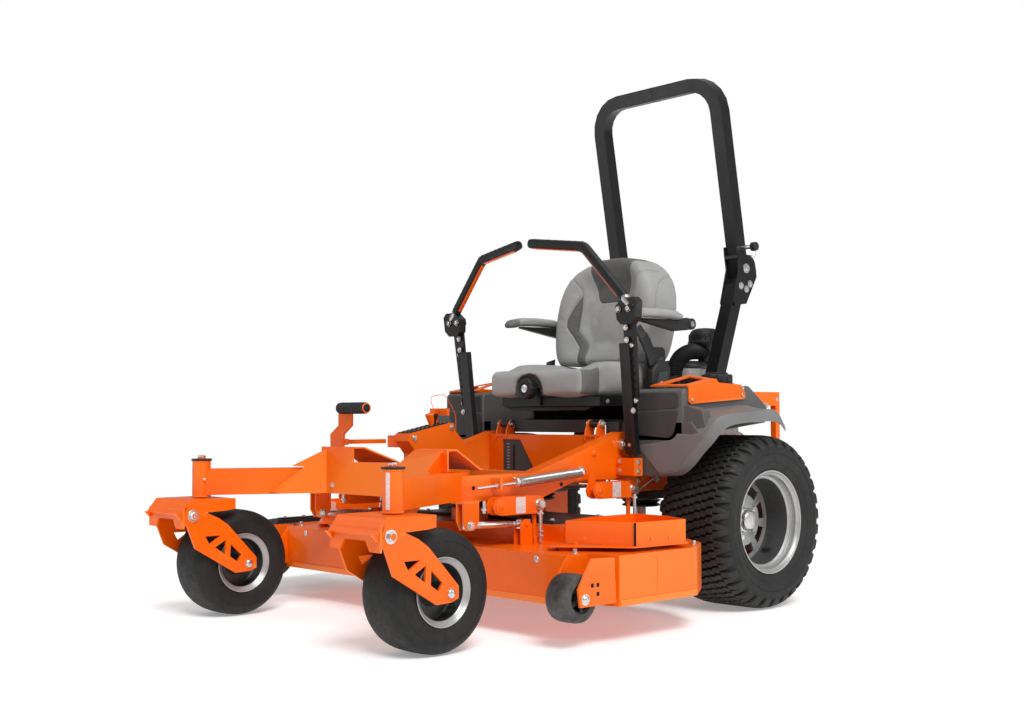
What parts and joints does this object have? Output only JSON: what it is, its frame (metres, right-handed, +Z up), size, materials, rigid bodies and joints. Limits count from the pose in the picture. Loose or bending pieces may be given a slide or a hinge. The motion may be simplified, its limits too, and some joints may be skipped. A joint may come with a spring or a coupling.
{
  "type": "zero turn mower",
  "caption": "Ride-on zero turn lawn mower with a belly cutting deck, lap-bar steering levers, suspension seat, front casters and a folding roll bar.",
  "frame": {"origin": "on the floor, under the middle of the machine's bounding box", "axes": "+Z up, -Y forwards in the driving direction, +X towards the driver's left; the discharge chute is on -X"},
  "size_m": [1.801, 2.0605, 1.87],
  "materials": {
    "orange_paint": "gloss powder coat",
    "black_paint": "satin powder coat",
    "charcoal_plastic": "fine grain",
    "black_plastic": "satin",
    "tyre_rubber": "matt",
    "soft_rubber": "matt",
    "rim_paint": "silver grey paint",
    "zinc_steel": "zinc plated",
    "grey_vinyl": "soft grained vinyl",
    "engine_alloy": "black painted alloy"
  },
  "bodies": {
    "chassis": {"main_frame": "orange_paint", "front_cross_member": "orange_paint", "floor_pan": "charcoal_plastic", "seat_front_panel": "orange_paint", "height_console": "orange_paint", "counter_spring_left": "zinc_steel", "counter_spring_right": "zinc_steel", "fender_left": "charcoal_plastic", "fender_right": "charcoal_plastic", "fender_plate_left": "orange_paint", "fender_plate_right": "orange_paint", "engine": "engine_alloy", "air_cleaner": "black_plastic", "rops_frame": "black_paint"},
    "height_pin_body": {"height_pin": "orange_paint"},
    "pedal": {"lift_pedal": "orange_paint"},
    "pedal_push_bar": {"pedal_link": "orange_paint"},
    "roll_bar": {"rops_hoop": "black_paint"},
    "platform": {"seat_platform": "black_paint", "seat_bellows": "soft_rubber"},
    "suspension": {"suspension_top": "black_paint"},
    "seat_base": {"seat_pan": "black_paint", "seat_cushion": "grey_vinyl"},
    "seat_backrest": {"seat_back": "grey_vinyl"},
    "adjuster": {"seat_knob": "black_plastic"},
    "deck": {"deck_shell": "orange_paint", "belt_cover_left": "orange_paint", "belt_cover_right": "orange_paint"},
    "chute": {"discharge_chute": "soft_rubber"},
    "blade_centre_body": {"blade_centre": "zinc_steel"},
    "blade_left_body": {"blade_left": "zinc_steel"},
    "blade_right_body": {"blade_right": "zinc_steel"},
    "caster_fork_left_body": {"caster_fork_left": "orange_paint"},
    "caster_wheel_left": {"caster_tyre_left": "tyre_rubber", "caster_rim_left": "rim_paint"},
    "rear_wheel_left": {"rear_tyre_left": "tyre_rubber", "rear_rim_left": "rim_paint"},
    "control_hub_left_body": {"control_hub_left": "zinc_steel"},
    "lap_lever_left_body": {"lap_lever_left": "black_paint"},
    "fuel_cap_left_body": {"fuel_cap_left": "black_plastic"},
    "rops_pin_left_body": {"rops_pin_left": "zinc_steel"},
    "armrest_left_body": {"armrest_left": "charcoal_plastic"},
    "lift_link_front_left_body": {"lift_link_front_left": "orange_paint"},
    "lift_link_rear_left_body": {"lift_link_rear_left": "orange_paint"},
    "deck_strut_left_body": {"deck_strut_left": "zinc_steel"},
    "gauge_wheel_left": {"anti_scalp_wheel_left": "soft_rubber"},
    "caster_fork_right_body": {"caster_fork_right": "orange_paint"},
    "caster_wheel_right": {"caster_tyre_right": "tyre_rubber", "caster_rim_right": "rim_paint"},
    "rear_wheel_right": {"rear_tyre_right": "tyre_rubber", "rear_rim_right": "rim_paint"},
    "control_hub_right_body": {"control_hub_right": "zinc_steel"},
    "lap_lever_right_body": {"lap_lever_right": "black_paint"},
    "fuel_cap_right_body": {"fuel_cap_right": "black_plastic"},
    "rops_pin_right_body": {"rops_pin_right": "zinc_steel"},
    "armrest_right_body": {"armrest_right": "charcoal_plastic"},
    "lift_link_front_right_body": {"lift_link_front_right": "orange_paint"},
    "lift_link_rear_right_body": {"lift_link_rear_right": "orange_paint"},
    "deck_strut_right_body": {"deck_strut_right": "zinc_steel"},
    "gauge_wheel_right": {"anti_scalp_wheel_right": "soft_rubber"}
  },
  "joints": [
    {"name": "deck_lift", "type": "slide", "parent": "chassis", "child": "deck", "axis": [0, 0, 1], "range_m": [-0.06, 0.01]},
    {"name": "caster_yaw_left", "type": "hinge", "parent": "chassis", "child": "caster_fork_left_body", "pos_m": [0.6055, -0.8862, 0.373], "axis": [0, 0, 1], "continuous": true},
    {"name": "caster_spin_left", "type": "hinge", "parent": "caster_fork_left_body", "child": "caster_wheel_left", "pos_m": [0.6055, -0.7762, 0.165], "axis": [1, 0, 0], "continuous": true},
    {"name": "drive_spin_left", "type": "hinge", "parent": "chassis", "child": "rear_wheel_left", "pos_m": [0.6725, 0.5148, 0.28], "axis": [1, 0, 0], "continuous": true},
    {"name": "speed_lever_left", "type": "hinge", "parent": "chassis", "child": "control_hub_left_body", "pos_m": [0.4625, 0.1698, 0.53], "axis": [1, 0, 0], "range_deg": [-8, 14]},
    {"name": "lever_swing_left", "type": "hinge", "parent": "control_hub_left_body", "child": "lap_lever_left_body", "pos_m": [0.5075, 0.1698, 0.53], "axis": [0, 1, 0], "range_deg": [0, 22]},
    {"name": "fuel_cap_turn_left", "type": "hinge", "parent": "chassis", "child": "fuel_cap_left_body", "pos_m": [0.6225, 0.4598, 0.7305], "axis": [0, 0, 1], "range_deg": [0, 180]},
    {"name": "rops_pin_pull_left", "type": "slide", "parent": "roll_bar", "child": "rops_pin_left_body", "axis": [1, 0, 0], "range_m": [0, 0.06]},
    {"name": "armrest_lift_left", "type": "hinge", "parent": "seat_backrest", "child": "armrest_left_body", "pos_m": [0.4025, 0.5898, 0.945], "axis": [-1, 0, 0], "range_deg": [0, 75]},
    {"name": "lift_link_front_left_swing", "type": "hinge", "parent": "chassis", "child": "lift_link_front_left_body", "pos_m": [0.4855, -0.4092, 0.36], "axis": [1, 0, 0], "range_deg": [-22.5, 4.5]},
    {"name": "lift_link_rear_left_swing", "type": "hinge", "parent": "chassis", "child": "lift_link_rear_left_body", "pos_m": [0.4855, 0.0138, 0.389], "axis": [1, 0, 0], "range_deg": [-22.5, 4.5]},
    {"name": "deck_strut_swing_left", "type": "hinge", "parent": "chassis", "child": "deck_strut_left_body", "pos_m": [0.4835, -0.5222, 0.311], "axis": [1, 0, 0], "range_deg": [-16, 3.5]},
    {"name": "gauge_wheel_spin_left", "type": "hinge", "parent": "deck", "child": "gauge_wheel_left", "pos_m": [0.8435, -0.4702, 0.137], "axis": [1, 0, 0], "continuous": true},
    {"name": "caster_yaw_right", "type": "hinge", "parent": "chassis", "child": "caster_fork_right_body", "pos_m": [-0.3605, -0.8862, 0.373], "axis": [0, 0, 1], "continuous": true},
    {"name": "caster_spin_right", "type": "hinge", "parent": "caster_fork_right_body", "child": "caster_wheel_right", "pos_m": [-0.3605, -0.7762, 0.165], "axis": [1, 0, 0], "continuous": true},
    {"name": "drive_spin_right", "type": "hinge", "parent": "chassis", "child": "rear_wheel_right", "pos_m": [-0.4275, 0.5148, 0.28], "axis": [1, 0, 0], "continuous": true},
    {"name": "speed_lever_right", "type": "hinge", "parent": "chassis", "child": "control_hub_right_body", "pos_m": [-0.2175, 0.1698, 0.53], "axis": [1, 0, 0], "range_deg": [-8, 14]},
    {"name": "lever_swing_right", "type": "hinge", "parent": "control_hub_right_body", "child": "lap_lever_right_body", "pos_m": [-0.2625, 0.1698, 0.53], "axis": [0, -1, 0], "range_deg": [0, 22]},
    {"name": "fuel_cap_turn_right", "type": "hinge", "parent": "chassis", "child": "fuel_cap_right_body", "pos_m": [-0.3775, 0.4598, 0.7305], "axis": [0, 0, 1], "range_deg": [0, 180]},
    {"name": "rops_pin_pull_right", "type": "slide", "parent": "roll_bar", "child": "rops_pin_right_body", "axis": [-1, 0, 0], "range_m": [0, 0.06]},
    {"name": "armrest_lift_right", "type": "hinge", "parent": "seat_backrest", "child": "armrest_right_body", "pos_m": [-0.1575, 0.5898, 0.945], "axis": [-1, 0, 0], "range_deg": [0, 75]},
    {"name": "lift_link_front_right_swing", "type": "hinge", "parent": "chassis", "child": "lift_link_front_right_body", "pos_m": [-0.2405, -0.4092, 0.36], "axis": [1, 0, 0], "range_deg": [-22.5, 4.5]},
    {"name": "lift_link_rear_right_swing", "type": "hinge", "parent": "chassis", "child": "lift_link_rear_right_body", "pos_m": [-0.2405, 0.0138, 0.389], "axis": [1, 0, 0], "range_deg": [-22.5, 4.5]},
    {"name": "deck_strut_swing_right", "type": "hinge", "parent": "chassis", "child": "deck_strut_right_body", "pos_m": [-0.2385, -0.5222, 0.311], "axis": [1, 0, 0], "range_deg": [-16, 3.5]},
    {"name": "gauge_wheel_spin_right", "type": "hinge", "parent": "deck", "child": "gauge_wheel_right", "pos_m": [-0.5985, -0.4702, 0.137], "axis": [1, 0, 0], "continuous": true},
    {"name": "lift_pedal_swing", "type": "hinge", "parent": "chassis", "child": "pedal", "pos_m": [-0.195, -0.4852, 0.476], "axis": [1, 0, 0], "range_deg": [-12.5, 2.5]},
    {"name": "pedal_link_slide", "type": "slide", "parent": "chassis", "child": "pedal_push_bar", "axis": [0, 1, 0], "range_m": [-0.004, 0.016]},
    {"name": "height_pin_pull", "type": "slide", "parent": "chassis", "child": "height_pin_body", "axis": [0, 0, 1], "range_m": [0, 0.03]},
    {"name": "roll_bar_fold", "type": "hinge", "parent": "chassis", "child": "roll_bar", "pos_m": [0.1225, 0.8808, 1.162], "axis": [-1, 0, 0], "range_deg": [0, 110]},
    {"name": "seat_tilt", "type": "hinge", "parent": "chassis", "child": "platform", "pos_m": [0.1225, 0.1768, 0.597], "axis": [1, 0, 0], "range_deg": [0, 18]},
    {"name": "seat_suspension", "type": "slide", "parent": "platform", "child": "suspension", "axis": [0, 0, 1], "range_m": [-0.02, 0.02], "stiffness_N_per_m": 9000, "springref_m": 0.03, "deforming": ["seat_bellows"]},
    {"name": "seat_fore_aft", "type": "slide", "parent": "suspension", "child": "seat_base", "axis": [0, 1, 0], "range_m": [-0.04, 0.04]},
    {"name": "backrest_recline", "type": "hinge", "parent": "seat_base", "child": "seat_backrest", "pos_m": [0.1225, 0.5768, 0.74], "axis": [-1, 0, 0], "range_deg": [0, 12]},
    {"name": "suspension_knob_turn", "type": "hinge", "parent": "seat_base", "child": "adjuster", "pos_m": [0.0945, 0.1148, 0.717], "axis": [0, -1, 0], "continuous": true},
    {"name": "blade_spin_centre", "type": "hinge", "parent": "deck", "child": "blade_centre_body", "pos_m": [0.1225, -0.1902, 0.133], "axis": [0, 0, 1], "continuous": true},
    {"name": "blade_spin_left", "type": "hinge", "parent": "deck", "child": "blade_left_body", "pos_m": [0.5975, -0.0702, 0.133], "axis": [0, 0, 1], "continuous": true},
    {"name": "blade_spin_right", "type": "hinge", "parent": "deck", "child": "blade_right_body", "pos_m": [-0.3525, -0.0702, 0.133], "axis": [0, 0, 1], "continuous": true},
    {"name": "chute_raise", "type": "hinge", "parent": "deck", "child": "chute", "pos_m": [-0.6665, -0.2052, 0.251], "axis": [0, 1, 0], "range_deg": [0, 60]}
  ],
  "couplings": [
    {"joint": "lift_link_front_left_swing", "follows": "deck_lift", "rad_per_m": 6.369},
    {"joint": "lift_link_rear_left_swing", "follows": "deck_lift", "rad_per_m": 6.289},
    {"joint": "deck_strut_swing_left", "follows": "deck_lift", "rad_per_m": 4.4},
    {"joint": "lift_link_front_right_swing", "follows": "deck_lift", "rad_per_m": 6.369},
    {"joint": "lift_link_rear_right_swing", "follows": "deck_lift", "rad_per_m": 6.289},
    {"joint": "deck_strut_swing_right", "follows": "deck_lift", "rad_per_m": 4.4},
    {"joint": "lift_pedal_swing", "follows": "deck_lift", "rad_per_m": 3.49},
    {"joint": "pedal_link_slide", "follows": "deck_lift", "ratio": -0.25},
    {"joint": "blade_spin_left", "follows": "blade_spin_centre", "ratio": 1},
    {"joint": "blade_spin_right", "follows": "blade_spin_centre", "ratio": 1}
  ]
}
